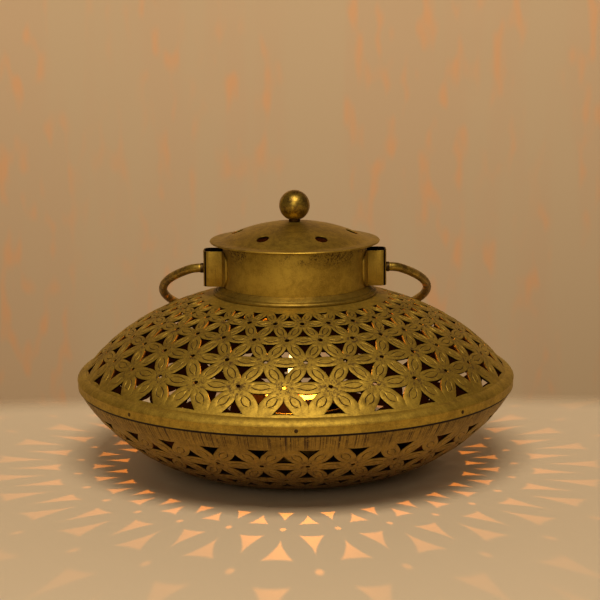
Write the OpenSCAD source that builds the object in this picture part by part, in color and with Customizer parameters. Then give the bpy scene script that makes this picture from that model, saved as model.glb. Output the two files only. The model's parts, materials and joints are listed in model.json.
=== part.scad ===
// Pierced brass incense burner: two spun shells riveted at the rim, a neck with a lift-off
// vented lid, a swinging bail handle, and a loose bowl inside that carries a tealight.
// Millimetres, +Z up, origin at the centre of the underside, front towards -Y.

/* [Body] */
// Diameter of the body at its widest line
body_d = 250; // [246:1:256]
// Height of the widest line above the table
rim_z = 51; // [49:0.5:53]
// Height of the shoulder where the neck stands
shoulder_z = 100.5; // [99:0.5:102]
// Radius of the shoulder
shoulder_r = 46; // [45.5:0.5:46.5]
// Radius of the flat foot
foot_r = 44; // [42:0.5:46]
// Thickness of the spun sheet
wall = 1.2; // [1:0.1:1.4]
// Number of rivets through the rim seam
rivet_count = 8; // [4:1:12]

/* [Piercing] */
// Flowers in each ring of the pierced pattern
flowers = 28; // [26:1:30]
// Turn of the upper pattern about the axis, in degrees
upper_turn = -3.2; // [-10:0.1:10]
// Turn of the lower pattern about the axis, in degrees
lower_turn = 3.2; // [-10:0.1:10]
// Half the width of the petal left between two cut-outs
petal_half_w = 3.1; // [2.8:0.1:3.2]

/* [Neck and lid] */
// Outside radius of the neck band
neck_r = 41; // [40.5:0.1:41.3]
// Height of the top edge of the neck
neck_top_z = 130; // [129:0.5:132]
// Radius of the lid at its brim
lid_r = 48.4; // [47.5:0.1:49]
// Rise of the lid's dome above the brim
dome_rise = 9.9; // [8:0.1:11]
// Number of vents in the lid
vent_count = 6; // [4:1:8]
// Diameter of a vent
vent_d = 7; // [5:0.5:8]
// Radius of the circle that the vents lie on
vent_circle_r = 32.5; // [30:0.5:33]
// Radius of the knob's ball
knob_r = 8.7; // [7.5:0.1:10]

/* [Bail handle] */
// Diameter of the bail's rod
rod_d = 5; // [4.6:0.1:5.4]
// Radius of the bail's round bow, to the middle of the rod
bow_r = 79; // [78.5:0.1:79.5]
// Distance from the pivot to the centre of the bow
bow_drop = 54; // [53.5:0.1:54]
// Height of the pivot above the table
pivot_z = 115; // [114.8:0.1:115.5]
// Angle below level at which the bail lies back on the body
lie_back = 24.2; // [20:0.1:24.2]

/* [Bowl and tealight] */
// Radius of the bowl's rim
bowl_r = 32; // [30:0.5:36]
// Height of the bowl's floor above the table
bowl_floor_z = 26.5; // [21:0.5:27]
// Radius of the tealight's cup
tealight_r = 19; // [18.5:0.1:19.5]
// Height of the tealight's cup
tealight_h = 15; // [12:0.5:17]

/* [Hidden] */
$fn = 96;

seat = 0.05;             // gap between pieces that bear on each other
loose = 0.4;             // gap round a piece that lifts out
rim_r = body_d / 2;
profile_steps = 9;       // straight stretches in each spun profile
cutter = 8;              // length of the tool that cuts a piercing

// Outside of the two spun profiles, as cubic curves from the rim inwards.
upper_curve = [
    [rim_r - 4.2, rim_z + 5.7], [rim_r - 13.7, rim_z + 18.1],
    [shoulder_r + 45.1, shoulder_z - 10.4], [shoulder_r, shoulder_z]
];
lower_curve = [
    [rim_r - 1.2, rim_z - 2.6], [rim_r - 6.2, rim_z - 14.5], [foot_r + 43.5, 0], [foot_r, 0]
];

// Where the rings of flowers lie along each curve, from 0 at the rim. The first and last
// ring of the upper shell, and the first of the lower one, are half lost in the plain border.
upper_rings = [0.02, 0.32, 0.533, 0.711, 0.8515, 0.965];
lower_rings = [0.165, 0.378, 0.557, 0.70];

skirt_bottom_z = rim_z - 2.1;    // lower edge of the upper shell's turned-down skirt
skirt_outer_r = rim_r - 0.3;
lip_top_z = rim_z + 2.5;         // top of the lower shell's lip, inside the skirt
lip_r = skirt_outer_r - wall - seat;
rivet_z = rim_z + 0.6;
rivet_d = 2.4;
neck_hole_r = neck_r + seat;
neck_bottom_z = shoulder_z - 2;
flange_r = neck_r + 5.8;
flange_h = 4.2;
strap_sheet = 1;
strap_face_x = neck_r + 11;      // outer face of a bracket
strap_half_w = 7.5;
strap_bottom_z = pivot_z - 9.7;
strap_h = 20.2;
foot_reach = 15.4;               // half the span of a bracket's two feet
pin_d = 4;                       // turned-down end of the bail's rod
pin_clearance = 0.08;            // radial, round the pin
shoulder_x = strap_face_x + 1.9; // where the pin becomes the full rod
washer_d = 5.6;
head_d = 7;                      // peened head inside a bracket
head_t = 1.5;
head_x = strap_face_x - strap_sheet - 0.3;
rod_lap = 0.3;                   // degrees that the bow runs into the bends at its ends
bend_r = (pow(bow_r, 2) - pow(shoulder_x, 2) - pow(bow_drop, 2)) / (2 * (bow_r - bow_drop));
bend_angle = atan2(bow_drop - bend_r, shoulder_x);
lid_z = neck_top_z + seat;
dome_r = neck_r + 0.5;           // radius at which the dome meets the brim
dome_z = lid_z + 1.6;
dome_sphere_r = (pow(dome_r, 2) + pow(dome_rise, 2)) / (2 * dome_rise);
apex_z = dome_z + dome_rise;
skirt_h = 9;
collar_d = 6.6;
collar_h = 1.6;
knob_z = apex_z + knob_r + 0.4;
stud_d = 3;
bowl_wall = 1.5;
bowl_rim_z = bowl_floor_z + 10.5;
bowl_foot_r = 20;
foot_ring_top = 12;
foil = 0.4;
wax_h = 12;
wick_h = 7;

function along(c, t) =
    pow(1 - t, 3) * c[0] + 3 * pow(1 - t, 2) * t * c[1] + 3 * (1 - t) * t * t * c[2] + pow(t, 3) * c[3];
function heading(c, t) = along(c, t + 0.001) - along(c, t - 0.001);
function lean(c, t) = atan2(heading(c, t)[1], -heading(c, t)[0]);
function inside(c, t, side) = along(c, t) - side * wall * [sin(lean(c, t)), cos(lean(c, t))];
steps = [for (i = [0:profile_steps]) i / profile_steps];

// Outside of a spun profile from the rim inwards, then its inside back to the rim.
function sheet(c, side, middle) = concat(
    [for (t = steps) along(c, t)], middle,
    [for (i = [profile_steps:-1:0]) inside(c, steps[i], side)]
);

// One round of triangles between two rings. Two corners lie on the ring at base_t and the
// third, half a flower further round, on the ring at tip_t.
module triangles(c, base_t, tip_t, turn) {
    base = along(c, base_t);
    tip = along(c, tip_t);
    rise = norm(tip - base);
    half_w = PI * base[0] / flowers;
    inradius = half_w * rise / (half_w + norm([half_w, rise]));
    keep = 1 - petal_half_w / inradius;
    centre = base + (tip - base) * inradius / rise;
    slope = atan2(tip[1] - base[1], base[0] - tip[0]);
    for (i = [0:flowers - 1])
        rotate([0, 0, turn + (i + 0.5) * 360 / flowers - 90])
            translate([centre[0], 0, centre[1]])
                rotate([0, slope, 0])
                    translate([0, 0, -cutter / 2])
                        linear_extrude(height = cutter)
                            polygon(keep * [[inradius - rise, 0], [inradius, half_w], [inradius, -half_w]]);
}

module piercing(c, rings, turn) {
    half_step = 180 / flowers;
    for (k = [0:len(rings) - 2]) {
        triangles(c, rings[k], rings[k + 1], turn + (k - 1) * half_step);
        triangles(c, rings[k + 1], rings[k], turn + k * half_step);
    }
}

module around(count) {
    for (i = [0:count - 1]) rotate([0, 0, i * 360 / count]) children();
}

module at_rivets() {
    around(rivet_count)
        translate([0, 0, rivet_z]) rotate([90, 0, 0]) children();
}

module upper_shell() {
    rim = [
        [skirt_outer_r - wall, skirt_bottom_z], [skirt_outer_r, skirt_bottom_z],
        [skirt_outer_r, rim_z + 2.2], [rim_r, rim_z + 2.8], [rim_r - 0.4, rim_z + 4.6],
        [rim_r - 1.7, rim_z + 6.2], [rim_r - 3.3, rim_z + 6.8]
    ];
    neck_edge = [[neck_hole_r, shoulder_z + 0.6], [neck_hole_r, shoulder_z + 0.6 - wall]];
    color("darkgoldenrod")
        difference() {
            rotate_extrude()
                polygon(concat(rim, sheet(upper_curve, 1, neck_edge), [[rim_r - 4, rim_z + 4.6],
                    [skirt_outer_r - wall, rim_z + 3]]));
            piercing(upper_curve, upper_rings, upper_turn);
            at_rivets() cylinder(h = rim_r + 5, d = rivet_d);
        }
}

module lower_shell() {
    lip = [[lip_r - wall, lip_top_z], [lip_r, lip_top_z], [lip_r, rim_z - 2.4]];
    floor_disc = [[0, 0], [0, wall]];
    color("goldenrod")
        difference() {
            rotate_extrude() polygon(concat(lip, sheet(lower_curve, -1, floor_disc)));
            piercing(lower_curve, lower_rings, lower_turn);
            at_rivets() cylinder(h = rim_r + 5, d = rivet_d);
        }
}

// Small rivets with their heads outside and their tails spread inside the lip.
module seam_rivets() {
    tail_r = lip_r - wall;
    color("saddlebrown")
        at_rivets() {
            translate([0, 0, tail_r - 0.8]) cylinder(h = 0.7, d = rivet_d + 1.2);
            translate([0, 0, tail_r - 0.4]) cylinder(h = skirt_outer_r - tail_r + 0.6, d = rivet_d - 0.1);
        }
}

module neck_band() {
    color("goldenrod")
        translate([0, 0, neck_bottom_z])
            difference() {
                cylinder(h = neck_top_z - neck_bottom_z, r = neck_r);
                translate([0, 0, -1]) cylinder(h = neck_top_z, r = neck_r - 1);
            }
}

// Ring that covers the joint of neck and shell, with a groove turned in its slope.
module neck_flange() {
    foot_z = shoulder_z + 0.65;
    color("darkgoldenrod")
        rotate_extrude()
            polygon([
                [neck_hole_r, foot_z], [flange_r, foot_z - 0.5], [flange_r, foot_z + 0.5],
                [flange_r - 0.5, foot_z + 1.1], [flange_r - 1.6, foot_z + 1.5], [flange_r - 1.8, foot_z + 1.2],
                [flange_r - 2.3, foot_z + 1.3], [flange_r - 2.4, foot_z + 1.9], [neck_hole_r + 1.2, foot_z + flange_h - 0.8],
                [neck_hole_r + 0.5, foot_z + flange_h - 0.2], [neck_hole_r, foot_z + flange_h - 0.2]
            ]);
}

// Rounded rectangle from x0 to x1, half_w to each side of the X axis.
module rounded(x0, x1, half_w, r) {
    translate([x0 + r, -half_w]) square([x1 - x0 - 2 * r, 2 * half_w]);
    translate([x0, r - half_w]) square([x1 - x0, 2 * (half_w - r)]);
    for (x = [x0 + r, x1 - r], y = [r - half_w, half_w - r]) translate([x, y]) circle(r = r);
}

// Hat-shaped strap on the +X side of the neck: a loop with two round-ended feet.
module bracket() {
    inner_x = neck_r - 6;
    color("peru")
        difference() {
            union() {
                translate([0, 0, strap_bottom_z])
                    linear_extrude(height = strap_h)
                        difference() {
                            rounded(inner_x, strap_face_x, strap_half_w, 4);
                            rounded(inner_x - 5, strap_face_x - strap_sheet, strap_half_w - strap_sheet, 3);
                            circle(r = neck_hole_r);
                        }
                intersection() {
                    translate([0, 0, strap_bottom_z])
                        difference() {
                            cylinder(h = strap_h, r = neck_hole_r + strap_sheet);
                            translate([0, 0, -1]) cylinder(h = strap_h + 2, r = neck_hole_r);
                            translate([0, 1 - strap_half_w, -1]) cube([neck_r + 5, 2 * strap_half_w - 2, strap_h + 2]);
                        }
                    translate([0, 0, pivot_z + 0.4])
                        rotate([0, 90, 0])
                            linear_extrude(height = neck_r + 5)
                                rounded(-strap_h / 2, strap_h / 2, foot_reach, 6.5);
                }
            }
            translate([neck_r + 2, 0, pivot_z])
                rotate([0, 90, 0]) cylinder(h = 20, r = pin_d / 2 + pin_clearance);
        }
}

module bracket_right() { bracket(); }
module bracket_left() { mirror([1, 0, 0]) bracket(); }

// Places children in the bail's own plane: X across, Y from the pivot towards the bow.
module bail_plane() {
    translate([0, 0, pivot_z]) rotate([-lie_back, 0, 0]) children();
}

module bail_handle() {
    color("goldenrod")
        bail_plane() {
            translate([0, bow_drop, 0])
                rotate([0, 0, -bend_angle - rod_lap])
                    rotate_extrude(angle = 180 + 2 * (bend_angle + rod_lap)) translate([bow_r, 0]) circle(d = rod_d);
            for (m = [0, 1]) mirror([m, 0, 0]) {
                translate([shoulder_x, bend_r, 0])
                    rotate([0, 0, -90])
                        rotate_extrude(angle = 90 - bend_angle) translate([bend_r, 0]) circle(d = rod_d + seat);
                translate([head_x - head_t / 2, 0, 0])
                    rotate([0, 90, 0]) cylinder(h = shoulder_x + head_t / 2 - head_x, d = pin_d);
                translate([head_x - head_t, 0, 0]) rotate([0, 90, 0]) cylinder(h = head_t, d = head_d);
            }
        }
}

module bail_washer() {
    color("dimgray")
        translate([strap_face_x + 0.2, 0, pivot_z])
            rotate([0, 90, 0])
                difference() {
                    cylinder(h = shoulder_x - strap_face_x - 0.2, d = washer_d);
                    translate([0, 0, -1]) cylinder(h = 5, d = pin_d + 0.02);
                }
}

module bail_washer_right() { bail_washer(); }
module bail_washer_left() { mirror([1, 0, 0]) bail_washer(); }

module lid_dome() {
    dome_steps = 8;
    function dome(r, drop) = [r, apex_z - dome_sphere_r + sqrt(pow(dome_sphere_r, 2) - r * r) - drop];
    color("goldenrod")
        difference() {
            rotate_extrude()
                polygon(concat(
                    [[lid_r - 0.9, lid_z], [lid_r - 0.1, lid_z + 0.2], [lid_r, lid_z + 0.6], [lid_r - 0.8, lid_z + 1.1]],
                    [for (i = [dome_steps:-1:0]) dome(dome_r * i / dome_steps, 0)],
                    [for (i = [0:dome_steps]) dome((dome_r - 3) * i / dome_steps, wall)],
                    [[dome_r - 3, lid_z]]
                ));
            around(vent_count)
                rotate([0, 0, 27]) translate([0, -vent_circle_r, neck_top_z]) cylinder(h = 20, d = vent_d);
            translate([0, 0, neck_top_z]) cylinder(h = 20, d = stud_d + 0.1);
        }
}

// Short ring under the lid that keeps it central in the neck.
module lid_skirt() {
    skirt_r = neck_r - 1 - loose;
    color("darkgoldenrod")
        translate([0, 0, lid_z - skirt_h])
            difference() {
                cylinder(h = skirt_h - seat, r = skirt_r);
                translate([0, 0, -1]) cylinder(h = skirt_h + 2, r = skirt_r - 1);
            }
}

module knob_collar() {
    color("sienna")
        translate([0, 0, apex_z])
            difference() {
                cylinder(h = collar_h, d = collar_d);
                translate([0, 0, -1]) cylinder(h = collar_h + 2, d = stud_d + 0.1);
            }
}

module knob_ball() {
    color("goldenrod")
        difference() {
            translate([0, 0, knob_z]) sphere(r = knob_r);
            translate([0, 0, apex_z - 5]) cylinder(h = 5 + collar_h, r = knob_r);
            translate([0, 0, apex_z]) cylinder(h = collar_h + 7, d = stud_d + 0.1);
        }
}

// Stud up through the dome into the ball, with its head under the dome.
module knob_rivet() {
    head_top = apex_z - wall - 0.2;    // the underside curves down past the head's rim
    color("sienna") {
        translate([0, 0, head_top - 1.5]) cylinder(h = 1.5, d = 8);
        translate([0, 0, head_top - 0.5]) cylinder(h = wall + collar_h + 6.5, d = stud_d);
    }
}

module bowl_foot() {
    color("goldenrod")
        rotate_extrude()
            polygon([
                [bowl_foot_r - 3, wall + seat], [bowl_foot_r, wall + seat], [bowl_foot_r - 2, foot_ring_top],
                [bowl_foot_r - 4, bowl_floor_z - bowl_wall - seat], [bowl_foot_r - 6, bowl_floor_z - bowl_wall - seat],
                [bowl_foot_r - 4.5, foot_ring_top]
            ]);
}

module burner_bowl() {
    bottom = bowl_floor_z - bowl_wall;
    color("goldenrod")
        rotate_extrude()
            polygon([
                [0, bottom], [bowl_r - 9, bottom], [bowl_r - 3, bottom + 3.4], [bowl_r - 0.8, bowl_rim_z - 2],
                [bowl_r, bowl_rim_z - 0.6], [bowl_r - 0.5, bowl_rim_z], [bowl_r - bowl_wall - 0.8, bowl_rim_z - 1],
                [bowl_r - bowl_wall - 3, bottom + 4.4], [bowl_r - 9.6, bowl_floor_z], [0, bowl_floor_z]
            ]);
}

module tealight_cup() {
    color("silver")
        translate([0, 0, bowl_floor_z + seat])
            difference() {
                cylinder(h = tealight_h, r = tealight_r);
                translate([0, 0, foil]) cylinder(h = tealight_h, r = tealight_r - foil);
            }
}

module tealight_wax() {
    color("ivory")
        translate([0, 0, bowl_floor_z + foil + 2 * seat])
            difference() {
                cylinder(h = wax_h, r = tealight_r - foil - seat);
                translate([0, 0, -1]) cylinder(h = 1.5, r = 5);
                translate([0, 0, -1]) cylinder(h = wax_h + 2, d = 1.6);
            }
}

module wick_base() {
    color("gainsboro")
        translate([0, 0, bowl_floor_z + foil + 2 * seat])
            difference() {
                cylinder(h = 0.4, r = 4.8);
                translate([0, 0, -1]) cylinder(h = 2, d = 1.4);
            }
}

module tealight_wick() {
    color("dimgray")
        translate([0, 0, bowl_floor_z + foil + 2 * seat]) cylinder(h = wax_h + wick_h, d = 1.3);
}

upper_shell();
lower_shell();
seam_rivets();
neck_band();
neck_flange();
bracket_left();
bracket_right();
bail_handle();
bail_washer_left();
bail_washer_right();
lid_dome();
lid_skirt();
knob_collar();
knob_ball();
knob_rivet();
bowl_foot();
burner_bowl();
tealight_cup();
tealight_wax();
wick_base();
tealight_wick();
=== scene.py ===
import json
import math

import bmesh
import bpy
from mathutils import Matrix, Vector

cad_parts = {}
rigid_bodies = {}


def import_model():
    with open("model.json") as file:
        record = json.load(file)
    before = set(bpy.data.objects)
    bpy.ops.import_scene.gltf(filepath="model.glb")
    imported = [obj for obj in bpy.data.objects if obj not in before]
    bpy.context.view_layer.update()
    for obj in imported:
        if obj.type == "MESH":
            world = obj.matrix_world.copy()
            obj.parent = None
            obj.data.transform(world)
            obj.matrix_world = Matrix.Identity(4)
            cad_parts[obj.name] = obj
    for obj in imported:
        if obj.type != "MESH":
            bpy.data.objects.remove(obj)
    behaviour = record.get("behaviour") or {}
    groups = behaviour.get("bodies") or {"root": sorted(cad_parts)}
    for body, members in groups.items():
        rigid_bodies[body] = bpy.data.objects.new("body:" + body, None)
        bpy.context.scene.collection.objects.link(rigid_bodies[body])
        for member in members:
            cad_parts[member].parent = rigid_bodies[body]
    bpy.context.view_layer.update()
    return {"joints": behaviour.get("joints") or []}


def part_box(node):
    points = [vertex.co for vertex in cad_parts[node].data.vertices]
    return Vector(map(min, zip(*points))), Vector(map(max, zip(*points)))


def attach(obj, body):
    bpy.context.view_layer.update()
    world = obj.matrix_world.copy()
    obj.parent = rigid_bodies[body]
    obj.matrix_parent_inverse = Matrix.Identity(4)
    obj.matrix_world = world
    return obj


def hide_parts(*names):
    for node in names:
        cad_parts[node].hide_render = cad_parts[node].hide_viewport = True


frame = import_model()

MM = 0.001
TAU = 2 * math.pi
MERGE = 0.01 * MM

# ---------------------------------------------------------------- sizes taken from the frame

def heights(node):
    """The lowest and highest Z of a node."""
    low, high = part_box(node)
    return low.z, high.z


RIM_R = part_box("upper_shell")[1].x          # widest line of the body
SKIRT_R = RIM_R - 0.3 * MM                  # below the bead
SEAM_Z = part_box("upper_shell")[0].z         # lower edge of the upper shell
RIM_Z = SEAM_Z + 2.1 * MM
SHOULDER_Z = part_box("upper_shell")[1].z - 0.6 * MM
SHOULDER_R = 46 * MM
FOOT_R = 44 * MM
WALL = 1.2 * MM                             # spun sheet
NECK_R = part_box("neck_band")[1].x
NECK_LOW, NECK_TOP = heights("neck_band")
FLANGE_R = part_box("neck_flange")[1].x
FLANGE_LOW, FLANGE_TOP = heights("neck_flange")
STRAP_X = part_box("bracket_right")[1].x      # outer face of a bracket
LID_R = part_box("lid_dome")[1].x
LID_Z, APEX_Z = heights("lid_dome")
BALL_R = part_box("knob_ball")[1].x
BALL_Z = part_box("knob_ball")[1].z - BALL_R
CUP_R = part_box("tealight_cup")[1].x
CUP_LOW, CUP_TOP = heights("tealight_cup")
WAX_LOW, WAX_TOP = heights("tealight_wax")
WICK_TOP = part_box("tealight_wick")[1].z
BOWL_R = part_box("burner_bowl")[1].x
BOWL_LOW, BOWL_TOP = heights("burner_bowl")
TABLE_R, TABLE_EDGE = 1.6, 0.175            # radius of the table, and how far it goes on behind
LAMP = (1.0, 0.84, 0.64)                    # colour of every lamp in the room
BAIL_PIVOT = Vector(next(j for j in frame["joints"] if j["name"] == "bail_swing")["pos_m"])

# ---------------------------------------------------------------- camera and light

def add_camera():
    data = bpy.data.cameras.new("camera")
    data.sensor_width = 36
    data.lens = 106.4
    camera = bpy.data.objects.new("camera", data)
    bpy.context.collection.objects.link(camera)
    yaw = Matrix.Rotation(math.radians(-0.16), 4, "Z")
    pitch = Matrix.Rotation(math.radians(90 - 10.73), 4, "X")
    roll = Matrix.Rotation(math.radians(-0.40), 4, "Z")
    camera.matrix_world = Matrix.Translation((0, -0.998, 0.285)) @ yaw @ pitch @ roll
    bpy.context.scene.camera = camera


def add_panel(name, place, target, size, power, colour):
    data = bpy.data.lights.new(name, "AREA")
    data.shape = "RECTANGLE"
    data.size, data.size_y = size
    data.energy = power
    data.color = colour
    panel = bpy.data.objects.new(name, data)
    bpy.context.collection.objects.link(panel)
    panel.location = place
    panel.rotation_euler = (Vector(target) - Vector(place)).to_track_quat("-Z", "Y").to_euler()


# ---------------------------------------------------------------- finishes

class Wire:
    """A value on its way through a finish's nodes; arithmetic on it adds Math nodes."""

    def __init__(self, finish, socket):
        self.finish = finish
        self.socket = socket

    def maths(self, operation, *values, clamp=False):
        settings = {"operation": operation, "use_clamp": clamp}
        return self.finish.node("ShaderNodeMath", settings, dict(enumerate(values)))

    def __add__(self, other):
        return self.maths("ADD", self, other)

    def __radd__(self, other):
        return self.maths("ADD", other, self)

    def __sub__(self, other):
        return self.maths("SUBTRACT", self, other)

    def __rsub__(self, other):
        return self.maths("SUBTRACT", other, self)

    def __mul__(self, other):
        return self.maths("MULTIPLY", self, other)

    def __rmul__(self, other):
        return self.maths("MULTIPLY", other, self)

    def __truediv__(self, other):
        return self.maths("DIVIDE", self, other)

    def __pow__(self, other):
        return self.maths("POWER", self, other)

    def most(self, other):
        return self.maths("MAXIMUM", self, other)

    def ramp(self, low, high, start=0.0, end=1.0):
        """Moves smoothly from start to end as the value goes from low to high."""
        settings = {"interpolation_type": "SMOOTHSTEP"}
        sockets = {"Value": self, "From Min": low, "From Max": high, "To Min": start, "To Max": end}
        return self.finish.node("ShaderNodeMapRange", settings, sockets)


class Finish:
    """A material with one Principled shader, built up node by node."""

    def __init__(self, name):
        self.material = bpy.data.materials.new(name)
        self.material.use_nodes = True
        self.tree = self.material.node_tree
        self.tree.nodes.clear()
        self.shader = self.tree.nodes.new("ShaderNodeBsdfPrincipled")
        output = self.tree.nodes.new("ShaderNodeOutputMaterial")
        self.tree.links.new(self.shader.outputs[0], output.inputs["Surface"])
        self.place = self.node("ShaderNodeTexCoord", output="Object")

    def node(self, kind, settings=None, sockets=None, output=0):
        node = self.tree.nodes.new(kind)
        for key, value in (settings or {}).items():
            setattr(node, key, value)
        for key, value in (sockets or {}).items():
            self.feed(node.inputs[key], value)
        return Wire(self, node.outputs[output])

    def feed(self, socket, value):
        if isinstance(value, Wire):
            self.tree.links.new(value.socket, socket)
        elif isinstance(value, (tuple, list)) and socket.type == "RGBA":
            socket.default_value = (*value, 1.0)
        else:
            socket.default_value = value

    def set(self, **sockets):
        """Sets the shader's sockets, with an underscore for each space in a name."""
        for key, value in sockets.items():
            self.feed(self.shader.inputs[key.replace("_", " ")], value)

    def blend(self, factor, first, second):
        settings = {"data_type": "RGBA", "clamp_factor": True}
        return self.node("ShaderNodeMix", settings, {0: factor, 6: first, 7: second}, output=2)

    def noise(self, size, detail=3.0, roughness=0.55, stretch=(1, 1, 1), shift=0.0, warp=0.0):
        """Cloudy noise from 0 to 1, its blobs about size across."""
        settings = {"vector_type": "POINT"}
        scale = tuple(1 / (size * s) for s in stretch)
        sockets = {"Vector": self.place, "Scale": scale, "Location": (shift, shift * 0.7, shift * 1.3)}
        place = self.node("ShaderNodeMapping", settings, sockets)
        sockets = {"Vector": place, "Scale": 1.0, "Detail": detail, "Roughness": roughness,
                   "Distortion": warp}
        return self.node("ShaderNodeTexNoise", {"noise_dimensions": "3D"}, sockets)

    def dots(self, size, shift=0.0):
        """Distance to the nearest of many scattered points, in units of their spacing."""
        sockets = {"Vector": self.place, "Scale": (1 / size,) * 3, "Location": (shift, shift, shift)}
        place = self.node("ShaderNodeMapping", {"vector_type": "POINT"}, sockets)
        return self.node("ShaderNodeTexVoronoi", {"feature": "F1"}, {"Vector": place, "Scale": 1.0})

    def axis(self, letter):
        return self.node("ShaderNodeSeparateXYZ", None, {0: self.place}, output=letter)

    def painted(self, name):
        """A number that the piece's mesh carries at each vertex."""
        return self.node("ShaderNodeAttribute", {"attribute_name": name}, output="Fac")

    def bump(self, height, distance, strength=1.0):
        sockets = {"Height": height, "Distance": distance, "Strength": strength}
        self.set(Normal=self.node("ShaderNodeBump", None, sockets))


GOLD = (0.58, 0.40, 0.060)
OLIVE = (0.33, 0.215, 0.030)
UMBER = (0.11, 0.060, 0.016)
SOOT_AND_SHADE = (0.018, 0.012, 0.008)
INSIDE_SHADE_BLACK = (0.014, 0.008, 0.004)


def aged_brass(name, bright=GOLD, deep=OLIVE, grime=0.5, streaks=0.3, rough=0.40):
    """Lacquered old brass: uneven colour, dark specks in patches, fine scratches.

    Returns the finish with its colour, its dirt, its relief, its grain and its roughness.
    """
    finish = Finish(name)
    cloud = finish.noise(26 * MM, detail=3, shift=3.1)
    mottle = finish.noise(4 * MM, detail=6, roughness=0.7, shift=7.7)
    grain = finish.noise(0.7 * MM, detail=5, roughness=0.75, shift=1.3)
    drips = finish.noise(1.3 * MM, detail=4, roughness=0.6, stretch=(1, 1, 16), shift=5.2)
    specks = finish.noise(0.7 * MM, detail=5, roughness=0.8, shift=9.4)
    tone = mottle * 0.38 + cloud * 0.27 + grain * 0.35
    colour = finish.blend(tone.ramp(0.38, 0.60), deep, bright)
    patch = (cloud * 0.6 + mottle * 0.4).ramp(0.50 + 0.10 * grime, 0.36 + 0.10 * grime)
    fleck = specks.ramp(0.62 - 0.06 * grime, 0.74 - 0.06 * grime)
    streak = drips.ramp(0.56, 0.74) * streaks
    dirt_and_shade = (fleck * (0.10 + 0.75 * patch)).most(streak)
    relief = grain * 0.5 + mottle * 0.3 - dirt_and_shade * 0.25
    return finish, colour, dirt_and_shade, relief, grain, rough


def lay_brass(parts, extra_dirt_and_shade=None, relief_more=None):
    """Joins the colour, the dirt with any painted shade, and the relief of an old brass into its shader; its
    inside is painted black as shade.
    """
    finish, colour, dirt_and_shade, relief, grain, rough = parts
    inside = finish.painted("inside")
    if extra_dirt_and_shade is not None:
        dirt_and_shade = dirt_and_shade.most(extra_dirt_and_shade)
    # The dirt mask, which for the lower shell also carries painted shade towards the foot, darkens the
    # colour to umber and soot.
    colour = finish.blend(dirt_and_shade.ramp(0.0, 0.55), colour, UMBER)
    colour = finish.blend(dirt_and_shade.ramp(0.45, 1.0), colour, SOOT_AND_SHADE)
    # Painted shade: the marked inside of a piece and the walls of the cut-outs are painted near black.
    colour = finish.blend(inside.ramp(0.02, 0.5), colour, INSIDE_SHADE_BLACK)
    metallic = (0.92 - dirt_and_shade * 0.55).most(inside)
    finish.set(Base_Color=colour, Metallic=metallic,
               Roughness=rough + grain * 0.16 + dirt_and_shade * 0.25 + inside * 0.25)
    height = relief if relief_more is None else relief + relief_more
    finish.bump(height, 0.16 * MM, 0.55)
    return finish.material


def fretwork_brass(name, bright, deep, grime, shade_top=None):
    """Brass of the pierced shells: black in the engraved lines, stippled round the flowers.

    Below shade_top painted shade darkens the brass towards the foot, and the band under the seam is
    scratched.
    """
    parts = aged_brass(name, bright, deep, grime=grime, streaks=0.15, rough=0.48)
    finish = parts[0]
    groove = finish.painted("groove")
    ground = finish.painted("ground")
    stipple = finish.dots(0.75 * MM, shift=2.2).ramp(0.42, 0.12)
    pits = stipple * ground
    smudge = finish.noise(2.2 * MM, detail=5, roughness=0.7, shift=12.0).ramp(0.44, 0.66)
    lines = groove.ramp(0.25, 0.85) * 0.95
    marks_and_shade = lines.most(pits * 0.55).most(smudge * ground * 0.55)
    if shade_top:
        # Painted shade: the brass is darkened towards the foot, as the underside of the body faces away from
        # the lamps.
        shade = finish.axis("Z").ramp(shade_top, 0.0)
        flat = finish.node("ShaderNodeVectorMath", {"operation": "MULTIPLY"},
                           {0: finish.place, 1: (1, 1, 0)})
        way = finish.node("ShaderNodeVectorMath", {"operation": "NORMALIZE"}, {0: flat})
        sockets = {"Vector": way, "Scale": RIM_R / (0.7 * MM), "Detail": 4.0, "Roughness": 0.7}
        scratches = finish.node("ShaderNodeTexNoise", {"noise_dimensions": "3D"}, sockets)
        broken = finish.noise(3 * MM, detail=4, roughness=0.7, shift=15.0).ramp(0.34, 0.52)
        brushed = scratches.ramp(0.47, 0.60) * broken
        band = finish.axis("Z").ramp(SEAM_Z - 14 * MM, SEAM_Z - 3 * MM)
        marks_and_shade = marks_and_shade.most(shade * (0.40 + smudge * 0.45)).most(brushed * band * 0.75)
    return lay_brass(parts, marks_and_shade, pits * -0.9)


def plain_brass(name, bright=GOLD, deep=OLIVE, grime=0.5, streaks=0.3, rough=0.40, dark_from=None):
    """Brass of the plain pieces; above dark_from it is stippled with tarnish in patches."""
    parts = aged_brass(name, bright, deep, grime, streaks, rough)
    if dark_from is None:
        return lay_brass(parts)
    finish = parts[0]
    stipple = finish.noise(1.1 * MM, detail=6, roughness=0.85, shift=21.0).ramp(0.46, 0.60)
    patch = finish.noise(14 * MM, detail=2, shift=4.4).ramp(0.42, 0.58)
    high = finish.axis("Z").ramp(dark_from, dark_from + 11 * MM)
    return lay_brass(parts, stipple * patch * high * 0.75)


def foil_finish():
    finish = Finish("tealight_foil")
    brush = finish.noise(0.5 * MM, detail=3, stretch=(8, 8, 0.6), shift=4.0)
    heat = finish.axis("Z").ramp(CUP_LOW, CUP_TOP)
    colour = finish.blend(heat * brush, (0.78, 0.77, 0.75), (0.62, 0.50, 0.36))
    finish.set(Base_Color=colour, Metallic=0.95, Roughness=0.24 + brush * 0.22)
    finish.bump(brush, 0.05 * MM, 0.5)
    return finish.material


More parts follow.
